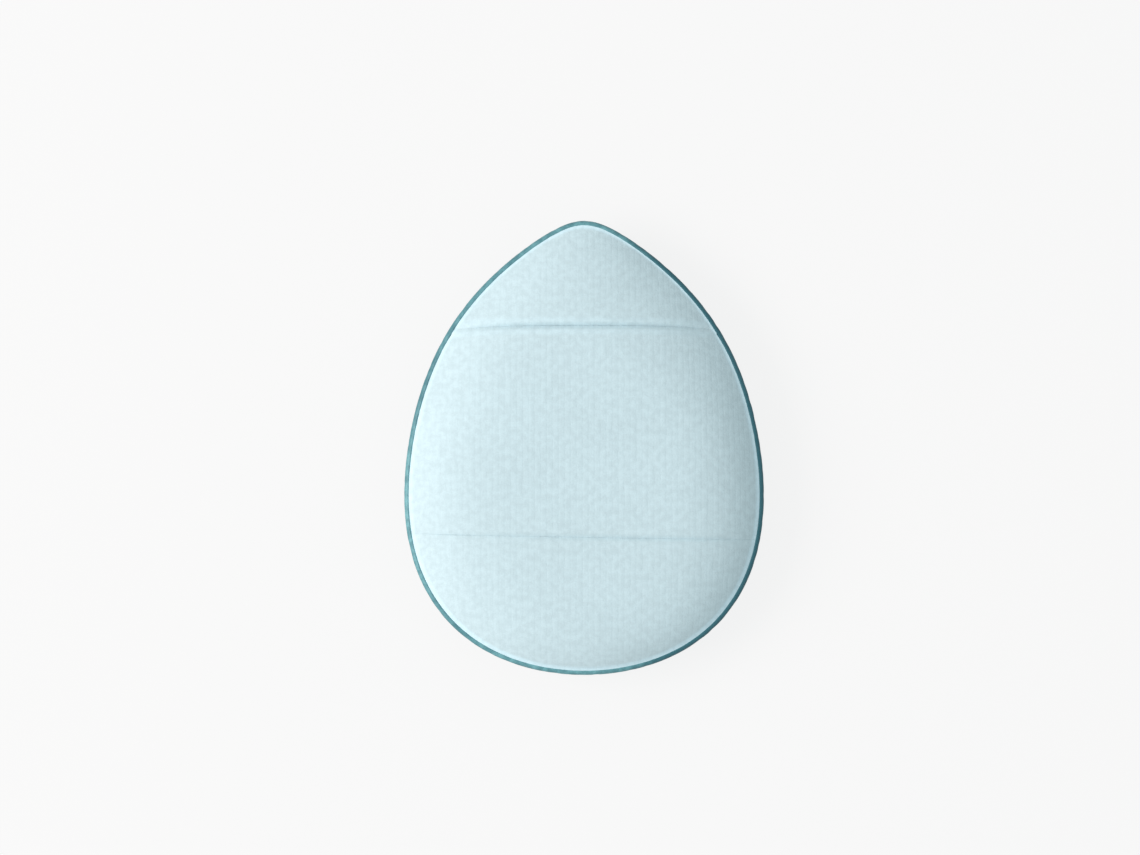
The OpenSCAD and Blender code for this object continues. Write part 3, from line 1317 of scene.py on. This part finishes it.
@dataclass(frozen=True)
class FingerStrap:
    """Elastic knitted ribbon across the back. The weld holds both its ends and the rest is loose.

    It is made as two halves that meet in the middle.

    Args:
        sizes: Sizes of the pad.
        form: Form of the back, which the ribbon's face continues.
        finish: Finish of the knit.
        stations: Number of steps from the middle to the weld.
        threads: Number of steps across each face.
        edge_steps: Number of steps round each quarter of an edge.
        hem_rise: Rise of the folded edge above the ribbon's face.
        hem_w: Width of the folded edge.
        hem_power: How late the folded edge's rise dies out towards the weld.
        held: Place on the plan where the right half starts to give way; not used.
        free: Place on the plan from which the right half moves as one; not used.
        stretch: Length of the laid ribbon over its length when it was cut.
        cap_angle: Angle from which a corner of the ribbon's ends stays sharp.
    """

    sizes: PadSizes
    form: BackForm
    finish: Finish
    stations: int = 72
    threads: int = 72
    edge_steps: int = 10
    hem_rise: float = 0.03 * MM
    hem_w: float = 0.7 * MM
    hem_power: int = 4
    held: tuple[float, float] = (13.66 * MM, 3.08 * MM)
    free: tuple[float, float] = (2.93 * MM, 0.66 * MM)
    stretch: float = 1.04
    cap_angle: float = math.radians(60.0)

    def build(self, side: Side) -> bpy.types.Object:
        """Build one half of the ribbon and dress it.

        Args:
            side: The half's side of the pad.

        Returns:
            The half.
        """
        cut = self._cut()
        skin = Skin()
        faces = [
            skin.add_face(self.stations, len(cut) - 1, self._face_spot(side, cut, face))
            for face in (1.0, -1.0)
        ]
        skin.join(*faces)
        skin.weld_points()
        skin.lay_cloth(self.form)
        skin.sharpen_corners(self.cap_angle)
        area = skin.blank_area(self.stretch)
        piece = skin.make_piece(f"Finger_Strap_{side.name.title()}", self.finish, Slot.STRAP)
        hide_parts("finger_strap")
        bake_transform(piece)
        return piece

    def _cut(self) -> list[CutSpot]:
        """Upper half of the ribbon's cut, from its lower edge to its upper edge.

        Returns:
            The points of the cut.
        """
        s = self.sizes
        shares = [math.sin(0.5 * math.pi * k / self.edge_steps) for k in range(self.edge_steps, -1, -1)]
        lower = [self._edge_spot(s.lower_crease, share, 0.0) for share in shares]
        upper = [self._edge_spot(s.upper_crease, share, 1.0) for share in reversed(shares)]
        over = []
        for k in range(1, self.threads):
            across = k / self.threads
            over.append(CutSpot(across, 0.0, 1.0, s.upper_crease if across > 0.5 else s.lower_crease))
        return [*lower, *over, *upper]

    @staticmethod
    def _edge_spot(crease: Crease, share: float, across: float) -> CutSpot:
        """Point of a rounded edge at a share of its reach."""
        step = math.copysign(share * crease.round_w, across - 0.5)
        return CutSpot(across, step, crease.level(share), crease)

    def _face_spot(self, side: Side, cut: Sequence[CutSpot], face: float) -> FaceSpot:
        """Points of the ribbon's upper face (1) or lower face (-1).

        Args:
            side: The half's side of the pad.
            cut: Upper half of the ribbon's cut.
            face: 1 for the upper face, -1 for the lower.

        Returns:
            The point for a share of the way from the middle to the weld and a row of the cut.
        """
        s = self.sizes

        def spot(share: float, row: int) -> tuple[float, float, float]:
            """Point of the face.

            Args:
                share: Share of the way from the middle to the weld.
                row: Number of the cut's point.

            Returns:
                The point.
            """
            cut_spot = cut[row]
            reach = crowd(share)
            near_y = mix(s.lower_line(side.value * s.plan.half_width), s.upper_edge, cut_spot.across)
            x = side.value * reach * s.plan.edge_x(near_y, s.bead_buried)
            low = s.lower_line(x) + s.lower_crease.round_w
            width = s.upper_line(x, near_y) - s.upper_crease.round_w - low
            y = low + cut_spot.across * width + cut_spot.step
            out = self.form.out(x, y)
            thickness = self.form.strap_thickness(out)
            to_edge = min(cut_spot.across, 1.0 - cut_spot.across) * width
            folded = 1.0 - smooth_step(to_edge / self.hem_w)
            hem = self.hem_rise * folded * (1.0 - out**self.hem_power)
            tip = self.form.tip_depth(cut_spot.crease, x, out)
            beyond = tip if face > 0.0 else thickness - tip
            return x, y, self.form.outer_z(x, y) - tip + face * cut_spot.level * (beyond + hem)

        return spot


@dataclass(frozen=True)
class EdgeWeld:
    """Fused bead round the rim, which joins the layers and the strap's ends.

    Args:
        sizes: Sizes of the pad.
        finish: Finish of the fused edge.
        steps: Number of cuts round the rim.
        sides: Number of points round each cut.
        power: How square the bead's cut is.
        proud: Reach of the bead above the cover's foot.
        inner_w: Reach of the bead below the cover's foot.
        wander: Unevenness of the bead.
        wander_length: Distance from one uneven place to the next.
        wander_spread: How much more the unevenness differs up the cut than across it.
        shade_start: Place across the pad from which the frost dies out towards the right, as painted shade
            on the bead's right-hand side.
        shade_fade: Distance over which that painted shade comes in.
        frost_in_shade: Share of the frost left beyond, where the painted shade is full.
        frost_patch: Distance from one patch of thick frost to the next.
        frost_mean: Mean thickness of the frost, as a share of the thickest.
        frost_change: How much its thickness changes from patch to patch.
        frost_place: Place in the noise that the patches are taken from.
    """

    sizes: PadSizes
    finish: Finish
    steps: int = 720
    sides: int = 16
    power: float = 1.8
    proud: float = 0.04 * MM
    inner_w: float = 0.1 * MM
    wander: float = 0.05 * MM
    wander_length: float = 0.8 * MM
    wander_spread: float = 2.0
    shade_start: float = 2.0 * MM
    shade_fade: float = 6.0 * MM
    frost_in_shade: float = 0.1
    frost_patch: float = 11.0 * MM
    frost_mean: float = 0.92
    frost_change: float = 0.9
    frost_place: float = 162.9

    def build(self) -> bpy.types.Object:
        """Build the bead and dress it.

        Returns:
            The piece.
        """
        skin = Skin()
        first = skin.add_loop(self.steps, self._line(0.0))
        loop = first
        for k in range(1, self.sides):
            loop = skin.draw(loop, self._line(math.tau * k / self.sides))
        skin.join(first, loop)
        # Frost share of each point, with painted shade that thins it towards the right.
        layer = skin.mesh.verts.layers.float.new(FROST_AND_SHADE)
        for vert in skin.mesh.verts:
            vert[layer] = self._frost_with_right_shade(vert.co.x, vert.co.y)
        piece = skin.make_piece("Edge_Weld", self.finish, Slot.WELD)
        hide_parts("edge_weld")
        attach(piece, Body.PUFF.value)
        return piece

    def _frost_with_right_shade(self, x: float, y: float) -> float:
        """How thick the frost is at a point of the plan: in patches, and thinned towards the right as
        painted shade.

        Args:
            x: Place across the pad.
            y: Place along it, towards the tip.

        Returns:
            The share of the thickest frost.
        """
        place = Vector((x / self.frost_patch, y / self.frost_patch, self.frost_place))
        patch = self.frost_mean + self.frost_change * noise.noise(place)
        # The fade towards the right is painted shade.
        return patch * mix(1.0, self.frost_in_shade, smooth_step((x - self.shade_start) / self.shade_fade))

    def _line(self, turn: float) -> Place:
        """Line round the whole bead at a turn of its cut, 0 at its outermost point.

        Args:
            turn: Turn of the cut.

        Returns:
            The points, as a function of the angle on the egg.
        """
        s = self.sizes
        outward = math.copysign(abs(math.cos(turn)) ** (2.0 / self.power), math.cos(turn))
        upward = math.copysign(abs(math.sin(turn)) ** (2.0 / self.power), math.sin(turn))
        rise = s.foot_h + self.proud if upward > 0.0 else s.bead_below
        cut_place = outward + self.wander_spread * upward

        def spot(angle: float) -> tuple[float, float, float]:
            """Point of the line at an angle.

            Args:
                angle: Angle on the egg.

            Returns:
                The point.
            """
            edge_x, edge_y = s.plan.spot(angle, 0.0)
            place = Vector((edge_x / self.wander_length, edge_y / self.wander_length, cut_place))
            step = self.wander * noise.noise(place)
            width = s.foot_inset if outward > 0.0 else self.inner_w
            inset = s.foot_inset - width * outward + max(step, 0.0) * abs(outward)
            return (*s.plan.spot(angle, inset), s.weld_z + rise * upward - abs(step) * upward)

        return spot


Colour = tuple[float, float, float]
Input = bpy.types.NodeSocket | float | Sequence[float]


@dataclass(frozen=True)
class Mottle:
    """Soft change of a share, such as that of a colour's brightness, from place to place.

    Args:
        swells: Number of swells in a millimetre.
        low: Share between the swells.
        high: Share on the swells.
        detail: Number of times that finer swells are laid over the first ones.
        span: Values of the noise, from 0 to 1, at which low and high are reached.
    """

    swells: float
    low: float
    high: float
    detail: float = 2.0
    span: tuple[float, float] = (0.3, 0.7)


class Graph:
    """The nodes of one material, or of the world, laid down one after the other."""

    def __init__(self, owner: bpy.types.Material | bpy.types.World) -> None:
        """Start with no nodes.

        Args:
            owner: New material or world.
        """
        owner.use_nodes = True
        self.nodes = owner.node_tree.nodes
        self.links = owner.node_tree.links
        self.nodes.clear()

    def add(self, kind: str, inputs: dict[str | int, Input], **settings: str) -> bpy.types.Node:
        """Add a node.

        Args:
            kind: Kind of node.
            inputs: Values or sockets for its inputs, by name or number.
            settings: Its other properties.

        Returns:
            The node.
        """
        node = self.nodes.new(kind)
        for name, setting in settings.items():
            setattr(node, name, setting)
        for name, value in inputs.items():
            if isinstance(value, bpy.types.NodeSocket):
                self.links.new(value, node.inputs[name])
            else:
                node.inputs[name].default_value = value
        return node

    def math(self, operation: str, *values: Input) -> bpy.types.NodeSocket:
        """Add a sum of one or two values."""
        return self.add("ShaderNodeMath", dict(enumerate(values)), operation=operation).outputs[0]

    def noise(self, place: Input, scale: float, detail: float = 2.0) -> bpy.types.NodeSocket:
        """Add a noise from 0 to 1 at a number of swells per unit of length."""
        inputs = {"Vector": place, "Scale": scale, "Detail": detail}
        return self.add("ShaderNodeTexNoise", inputs).outputs["Fac"]

    def swells(self, place: Input, mottle: Mottle, unit: float = MM) -> bpy.types.NodeSocket:
        """Add the noise of a mottle.

        Args:
            place: Coordinates that it follows.
            mottle: The mottle.
            unit: Length of a millimetre in those coordinates.

        Returns:
            The noise, from 0 to 1.
        """
        return self.noise(place, mottle.swells / unit, mottle.detail)

    def vary(self, value: Input, mottle: Mottle) -> bpy.types.NodeSocket:
        """Turn a mottle's noise into its shares."""
        return self.spread(value, *mottle.span, mottle.low, mottle.high)

    def spread(
        self, value: Input, low: float, high: float, to_low: float, to_high: float
    ) -> bpy.types.NodeSocket:
        """Spread a range of values over another range, with soft ends.

        Args:
            value: Value or socket.
            low: Start of its range.
            high: End of its range.
            to_low: What the start becomes.
            to_high: What the end becomes.

        Returns:
            The new value.
        """
        inputs = {0: value, 1: low, 2: high, 3: to_low, 4: to_high}
        return self.add("ShaderNodeMapRange", inputs, interpolation_type="SMOOTHSTEP").outputs[0]

    def tint(self, share: Input, first: Colour, second: Colour) -> bpy.types.NodeSocket:
        """Mix two colours."""
        inputs = {0: share, 6: as_rgba(first), 7: as_rgba(second)}
        return self.add("ShaderNodeMix", inputs, data_type="RGBA").outputs[2]

    def shade(self, colour: Input, factor: Input) -> bpy.types.NodeSocket:
        """Multiply a colour by a value."""
        inputs = {0: colour, 3: factor}
        return self.add("ShaderNodeVectorMath", inputs, operation="SCALE").outputs[0]

    def bump(self, height: Input, depth: float, under: Input | None = None) -> bpy.types.NodeSocket:
        """Add a relief of a depth in metres, on top of another one if given.

        Args:
            height: Height of the relief, from 0 to 1.
            depth: Depth of the relief.
            under: Relief that it lies on.

        Returns:
            The shader's normal.
        """
        inputs = {"Height": height, "Distance": depth}
        if under is not None:
            inputs["Normal"] = under
        return self.add("ShaderNodeBump", inputs).outputs[0]

    def product(self, *values: Input) -> bpy.types.NodeSocket:
        """Multiply values, from the first one on.

        Args:
            values: Values or sockets.

        Returns:
            The product.
        """
        result = values[0]
        for value in values[1:]:
            result = self.math("MULTIPLY", result, value)
        return result

    def close(self, inputs: dict[str | int, Input]) -> None:
        """Finish a material with its surface shader."""
        surface = self.add("ShaderNodeBsdfPrincipled", inputs)
        self.add("ShaderNodeOutputMaterial", {"Surface": surface.outputs[0]})


def as_rgba(colour: Colour) -> tuple[float, float, float, float]:
    """Give a colour its opaque fourth number."""
    return (*colour, 1.0)


class Finish(Protocol):
    """How a surface looks."""

    def material(self) -> bpy.types.Material:
        """Make the material.

        Returns:
            The material.
        """


@dataclass(frozen=True)
class KnitFinish:
    """Brushed fine-gauge knit: upright wales of stitches under a thin fuzz, on the cloth's own map.

    Args:
        name: Name of the material.
        colour: Colour of the yarn.
        pale_colour: Colour of the yarn where the weld pressed the cloth, which also paints highlights
            along the bead and beside the strap's upper edge.
        wale: Distance from one wale to the next, in millimetres.
        course: Distance from one course of stitches to the next, in millimetres.
        wander: Most that the wales wander sideways, as a share of a wale.
        wander_swells: Number of times that they swing in a millimetre.
        parting: How deep the groove inside a stitch is, as a share of the one between two wales.
        slant: Shift of the stitches beside a wale's middle, in courses for a wale's width.
        end_height: Height of a stitch at its two ends, as a share of its middle's.
        clearness: How clearly the wales show, from place to place, as the strength of the painted shade in
            their grooves.
        fuzz: Brightness of the fuzz.
        clump: Brightness of the fuzz where its fibres clump.
        drift: Slow change in the cloth's brightness.
        stitch_depth: Depth of the stitches' relief.
        fuzz_depth: Depth of the fuzz's relief.
        flattened: Share of both reliefs that is lost where the cloth is pressed.
        groove: Painted shade in the grooves between the wales, as a share of the yarn's colour.
        sheen: Strength of the fuzz's sheen.
    """

    name: str
    colour: Colour = (0.59, 0.745, 0.795)
    pale_colour: Colour = (0.665, 0.875, 0.955)
    wale: float = 0.56
    course: float = 0.42
    wander: float = 0.5
    wander_swells: float = 0.9
    parting: float = 0.25
    slant: float = 1.3
    end_height: float = 0.5
    clearness: Mottle = Mottle(0.35, 0.35, 1.25, span=(0.35, 0.65))
    fuzz: Mottle = Mottle(9.0, 0.965, 1.03, detail=4.0)
    clump: Mottle = Mottle(1.6, 0.95, 1.045, detail=3.0)
    drift: Mottle = Mottle(0.16, 0.985, 1.015)
    stitch_depth: float = 0.011 * MM
    fuzz_depth: float = 0.02 * MM
    flattened: float = 0.7
    groove: float = 0.987
    sheen: float = 0.25

    def material(self) -> bpy.types.Material:
        """Make the material.

        Returns:
            The material.
        """
        material = bpy.data.materials.new(self.name)
        g = Graph(material)
        cloth = g.add("ShaderNodeUVMap", {}, uv_map=CLOTH_MAP).outputs[0]
        # Pale share: pressed cloth at the bead, with painted highlights there and beside the strap's upper
        # edge.
        pale = g.add("ShaderNodeAttribute", {}, attribute_name=PALE_AND_HIGHLIT).outputs["Fac"]
        stitch = self._stitches(g, cloth)
        fuzz = g.swells(cloth, self.fuzz, 1.0)
        light = self._light(g, cloth, stitch, fuzz)
        raised = g.math("SUBTRACT", 1.0, g.product(pale, self.flattened))
        relief = g.bump(g.product(stitch, raised), self.stitch_depth)
        g.close({
            "Base Color": g.shade(g.tint(pale, self.colour, self.pale_colour), light),
            "Roughness": 0.85,
            "Normal": g.bump(g.product(fuzz, raised), self.fuzz_depth, relief),
            "Specular IOR Level": 0.25,
            "Sheen Weight": self.sheen,
            "Sheen Roughness": 0.5,
        })
        return material

    def _stitches(self, g: Graph, cloth: Input) -> bpy.types.NodeSocket:
        """Lay the stitches on the cloth's map, each with two legs beside its middle.

        Args:
            g: Nodes of the material.
            cloth: The map, in millimetres.

        Returns:
            Height of the stitches, about 1 on the crown of a wale and 0 in a groove.
        """
        wander = g.product(g.noise(cloth, self.wander_swells), self.wander * self.wale)
        spot = g.add("ShaderNodeSeparateXYZ", {0: cloth})
        wales = g.math("DIVIDE", g.math("ADD", spot.outputs[0], wander), self.wale)
        from_middle = g.math("ABSOLUTE", g.math("SUBTRACT", g.math("FRACT", wales), 0.5))
        legs = g.math("SINE", g.product(from_middle, math.tau))
        arch = g.math("COSINE", g.product(from_middle, math.pi))
        leg = g.math("ADD", g.product(legs, self.parting), g.product(arch, 1.0 - self.parting))
        courses = g.math("DIVIDE", spot.outputs[1], self.course)
        along = g.math("FRACT", g.math("ADD", courses, g.product(from_middle, self.slant)))
        loop = g.math("SINE", g.product(along, math.pi))
        body = g.math("ADD", g.product(loop, 1.0 - self.end_height), self.end_height)
        return g.product(leg, body)

    def _light(self, g: Graph, cloth: Input, stitch: Input, fuzz: Input) -> bpy.types.NodeSocket:
        """Brightness of the knit, as a share of the yarn's: painted shade in the grooves between the
        wales, times the tone of the fuzz, its clumps and a slow drift.

        Args:
            g: Nodes of the material.
            cloth: The cloth's map, in millimetres.
            stitch: Height of the stitches.
            fuzz: Noise of the fuzz.

        Returns:
            The share.
        """
        clear = g.vary(g.swells(cloth, self.clearness, 1.0), self.clearness)
        # Painted shade in the grooves between the wales.
        shadow = g.product(g.math("SUBTRACT", 1.0, stitch), clear)
        return g.product(
            g.spread(shadow, 0.0, 1.0, 1.0, self.groove),
            g.vary(fuzz, self.fuzz),
            g.vary(g.swells(cloth, self.clump, 1.0), self.clump),
            g.vary(g.swells(cloth, self.drift, 1.0), self.drift),
        )


@dataclass(frozen=True)
class FoamFinish:
    """Soft foam with fine pores.

    Args:
        name: Name of the material.
        colour: Colour of the foam.
        pore_shade: Painted shade in the pores, as a share of the foam's brightness.
        pores: Number of pores in a millimetre.
        pore_wall: Distances from a pore's middle between which its wall rises, in pores.
        pore_depth: Depth of the pores' relief.
        drift: Slow change in the foam's brightness.
        roughness: Roughness of the skin.
    """

    name: str
    colour: Colour
    pore_shade: float = 0.86
    pores: float = 5.5
    pore_wall: tuple[float, float] = (0.1, 0.45)
    pore_depth: float = 0.03 * MM
    drift: Mottle = Mottle(0.3, 0.95, 1.04, detail=3.0)
    roughness: float = 0.7

    def material(self) -> bpy.types.Material:
        """Make the material.

        Returns:
            The material.
        """
        material = bpy.data.materials.new(self.name)
        g = Graph(material)
        place = g.add("ShaderNodeTexCoord", {}).outputs["Object"]
        inputs = {"Vector": place, "Scale": self.pores / MM, "Randomness": 1.0}
        pore = g.add("ShaderNodeTexVoronoi", inputs, feature="SMOOTH_F1").outputs["Distance"]
        skin = g.spread(pore, *self.pore_wall, 0.0, 1.0)
        # Painted shade in the pores, times a slow drift in the foam's tone.
        light = g.product(
            g.spread(skin, 0.0, 1.0, self.pore_shade, 1.0),
            g.vary(g.swells(place, self.drift), self.drift),
        )
        g.close({
            "Base Color": g.shade(self.colour, light),
            "Roughness": self.roughness,
            "Normal": g.bump(skin, self.pore_depth),
            "Specular IOR Level": 0.3,
            "Sheen Weight": 0.1,
        })
        return material


@dataclass(frozen=True)
class FilmFinish:
    """Thin, slightly milky plastic film.

    Args:
        name: Name of the material.
        colour: Colour of the film.
        roughness: Roughness of its face.
        wrinkles: Brightness of the film's wrinkles.
        wrinkle_depth: Depth of their relief.
        clear: How much light the film lets through.
    """

    name: str
    colour: Colour
    roughness: float = 0.3
    wrinkles: Mottle = Mottle(0.6, 0.94, 1.0, detail=3.0)
    wrinkle_depth: float = 0.02 * MM
    clear: float = 0.4

    def material(self) -> bpy.types.Material:
        """Make the material.

        Returns:
            The material.
        """
        material = bpy.data.materials.new(self.name)
        g = Graph(material)
        place = g.add("ShaderNodeTexCoord", {}).outputs["Object"]
        wrinkle = g.swells(place, self.wrinkles)
        g.close({
            "Base Color": g.shade(self.colour, g.vary(wrinkle, self.wrinkles)),
            "Roughness": self.roughness,
            "Transmission Weight": self.clear,
            "Normal": g.bump(wrinkle, self.wrinkle_depth),
        })
        return material


@dataclass(frozen=True)
class WeldFinish:
    """Fused edge of knit and foam: half-glossy, with the cloth's threads melted into it.

    Args:
        name: Name of the material.
        colour: Colour of the fused edge.
        frost: Colour where fibres lie in its skin.
        fibre: How thick the fibres lie.
        fibre_depth: Depth of the fibres' relief.
        grain: Brightness of the skin's fine grain.
        grain_depth: Depth of the grain's relief.
        roughness: Roughness of the skin.
    """

    name: str
    colour: Colour
    frost: Colour
    fibre: Mottle = Mottle(1.4, 0.4, 0.85, detail=3.0)
    fibre_depth: float = 0.05 * MM
    grain: Mottle = Mottle(9.0, 0.9, 1.08)
    grain_depth: float = 0.015 * MM
    roughness: float = 0.45

    def material(self) -> bpy.types.Material:
        """Make the material.

        Returns:
            The material.
        """
        material = bpy.data.materials.new(self.name)
        g = Graph(material)
        place = g.add("ShaderNodeTexCoord", {}).outputs["Object"]
        fibre = g.swells(place, self.fibre)
        grain = g.swells(place, self.grain)
        # Frost share, which carries painted shade on the bead's right-hand side.
        frost_and_shade = g.add("ShaderNodeAttribute", {}, attribute_name=FROST_AND_SHADE).outputs["Fac"]
        share = g.product(g.vary(fibre, self.fibre), frost_and_shade)
        colour = g.tint(share, self.colour, self.frost)
        g.close({
            "Base Color": g.shade(colour, g.vary(grain, self.grain)),
            "Roughness": self.roughness,
            "Normal": g.bump(grain, self.grain_depth, g.bump(fibre, self.fibre_depth)),
            "Specular IOR Level": 0.4,
        })
        return material


@dataclass(frozen=True)
class Palette:
    """Finishes of the pad's pieces.

    Args:
        contact: Finish of the contact foam.
        core: Finish of the foam core.
        film: Finish of the barrier film.
        web: Finish of both adhesive webs.
        cover: Finish of the back cover.
        strap: Finish of the finger strap.
        weld: Finish of the fused edge.
    """

    contact: FoamFinish = FoamFinish("Contact_Foam", (0.21, 0.45, 0.48))
    core: FoamFinish = FoamFinish("Core_Foam", (0.66, 0.78, 0.78), pores=2.2, roughness=0.85)
    film: FilmFinish = FilmFinish("Film", (0.86, 0.89, 0.9))
    web: FilmFinish = FilmFinish(
        "Adhesive_Web",
        (0.88, 0.86, 0.78),
        roughness=0.5,
        wrinkles=replace(FilmFinish.wrinkles, swells=2.0),
        clear=0.2,
    )
    cover: KnitFinish = KnitFinish("Cover_Knit")
    strap: KnitFinish = KnitFinish("Strap_Knit")
    weld: WeldFinish = WeldFinish("Welded_Edge", (0.02, 0.12, 0.155), (0.19, 0.45, 0.49))


@dataclass(frozen=True)
class Pad:
    """The whole pad, put together from its layers.

    Args:
        sizes: Sizes of the pad.
        palette: Finishes of its pieces.
    """

    sizes: PadSizes
    palette: Palette = Palette()

    def build(self) -> list[bpy.types.Object]:
        """Build every piece, from the contact face up and the fused bead last.

        Returns:
            The pieces.
        """
        s = self.sizes
        look = self.palette
        form = BackForm(s)
        hidden = Lattice(s, s.core_inset, columns=60, tip_rows=20, crease_rows=6, seat_rows=20)
        shown = Lattice(s, s.foot_inset, columns=132, tip_rows=46, crease_rows=20, seat_rows=40)
        lining = replace(shown, inset=s.core_inset)
        film_bowl = Bowl(s, s.film_inset, s.film_z)
        web_bowl = Bowl(s, s.web_inset, s.web_z)
        core_bowl = Bowl(s, s.core_inset, s.core_z)
        strap = FingerStrap(s, form, look.strap)
        return [
            ContactFace(s, look.contact).build(),
            BowlLayer(s, look.film, Slot.FILM, "barrier_film", film_bowl, web_bowl).build(),
            BowlLayer(s, look.web, Slot.WEB, "front_adhesive", web_bowl, core_bowl).build(),
            FoamCore(s, form, hidden, look.core).build(),
            BackAdhesive(s, form, hidden, look.web).build(),
            BackCover(s, form, shown, lining, look.cover).build(),
            *(strap.build(side) for side in Side),
            EdgeWeld(s, look.weld).build(),
        ]


@dataclass(frozen=True)
class Studio:
    """Pale floor, soft light from the left and a camera that looks straight down on the pad.

    Args:
        sizes: Sizes of the pad.
        lens: Focal length of the camera's lens, in the camera's own unit.
        sensor: Width of its sensor, in the same unit.
        view_width: Width that the picture shows at the height of the weld plane.
        view_middle: Place on the plan in the middle of the picture.
        near: Distance from the camera at which its view starts.
        floor_size: Half the width of the floor.
        key_watts: Power of the lamp.
        key_colour: Colour of its light.
        key_distance: Distance of the lamp from the pad.
        key_size: Width of the lamp.
        key_height: Angle of the lamp above the floor.
        key_turn: Direction of the lamp from the pad, as an angle from +X.
        ambient: Strength of the light from all round.
        ambient_colour: Colour of that light.
        floor_colour: Colour of the floor.
        floor_glow: Share of white that the camera sees on the floor.
    """

    sizes: PadSizes
    lens: float = 100.0
    sensor: float = 36.0
    view_width: float = 107.95 * MM
    view_middle: tuple[float, float] = (-1.335 * MM, 1.93 * MM)
    near: float = 10.0 * MM
    floor_size: float = 1.0
    key_watts: float = 2.0
    key_colour: Colour = (1.08, 0.975, 0.945)
    key_distance: float = 0.5
    key_size: float = 0.3
    key_height: float = math.radians(40.0)
    key_turn: float = math.radians(180.0)
    ambient: float = 0.555
    ambient_colour: Colour = (0.925, 1.015, 1.035)
    floor_colour: Colour = (0.6, 0.6, 0.6)
    floor_glow: float = 0.85

    def build(self) -> None:
        """Set up the camera, the light and the floor."""
        bpy.context.scene.view_settings.view_transform = "Standard"
        self._add_camera()
        self._add_key()
        self._add_world()
        self._add_floor()

    def _add_camera(self) -> None:
        """Look straight down at the weld plane, with the photograph's frame."""
        data = bpy.data.cameras.new("Camera")
        data.lens = self.lens
        data.sensor_width = self.sensor
        data.clip_start = self.near
        camera = add_object("Camera", data)
        distance = self.view_width * self.lens / self.sensor
        camera.location = (*self.view_middle, self.sizes.weld_z + distance)
        bpy.context.scene.camera = camera

    def _add_key(self) -> None:
        """Hang a broad soft lamp on the left."""
        data = bpy.data.lights.new("Key", "AREA")
        data.energy = self.key_watts
        data.color = self.key_colour
        data.size = self.key_size
        lamp = add_object("Key", data)
        level = math.cos(self.key_height)
        way = Vector((
            level * math.cos(self.key_turn),
            level * math.sin(self.key_turn),
            math.sin(self.key_height),
        ))
        lamp.location = way * self.key_distance
        lamp.rotation_euler = way.to_track_quat("Z", "Y").to_euler()

    def _add_world(self) -> None:
        """Light the pad from all round, and show white to the camera and in reflections."""
        world = bpy.data.worlds.new("World")
        g = Graph(world)
        rays = g.add("ShaderNodeLightPath", {}).outputs
        seen = g.math("MAXIMUM", rays["Is Camera Ray"], rays["Is Transmission Ray"])
        shown = g.math("MAXIMUM", seen, rays["Is Glossy Ray"])
        inputs = {"Color": as_rgba(self.ambient_colour), "Strength": self.ambient}
        dim = g.add("ShaderNodeBackground", inputs)
        white = g.add("ShaderNodeBackground", {"Color": WHITE})
        choice = g.add("ShaderNodeMixShader", {0: shown, 1: dim.outputs[0], 2: white.outputs[0]})
        g.add("ShaderNodeOutputWorld", {"Surface": choice.outputs[0]})
        bpy.context.scene.world = world

    def _add_floor(self) -> None:
        """Lay the pale floor that the pad rests on, which glows a little for the camera."""
        material = bpy.data.materials.new("Floor")
        g = Graph(material)
        matte = g.add("ShaderNodeBsdfDiffuse", {"Color": as_rgba(self.floor_colour)})
        glow = g.add("ShaderNodeEmission", {"Color": WHITE, "Strength": 1.0})
        seen = g.add("ShaderNodeLightPath", {}).outputs["Is Camera Ray"]
        share = g.math("MULTIPLY", seen, self.floor_glow)
        both = g.add("ShaderNodeMixShader", {0: share, 1: matte.outputs[0], 2: glow.outputs[0]})
        g.add("ShaderNodeOutputMaterial", {"Surface": both.outputs[0]})
        mesh = bmesh.new()
        bmesh.ops.create_grid(mesh, x_segments=1, y_segments=1, size=self.floor_size)
        floor = add_mesh("Floor", mesh, material)


def main() -> None:
    """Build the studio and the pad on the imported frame."""
    logging.basicConfig(level=logging.INFO, format="%(message)s")
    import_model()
    sizes = PadSizes.from_frame()
    Studio(sizes).build()
    for piece in Pad(sizes).build():
        LOG.info("%s: %d faces", piece.name, len(piece.data.polygons))


if __name__ == "__main__":
    main()
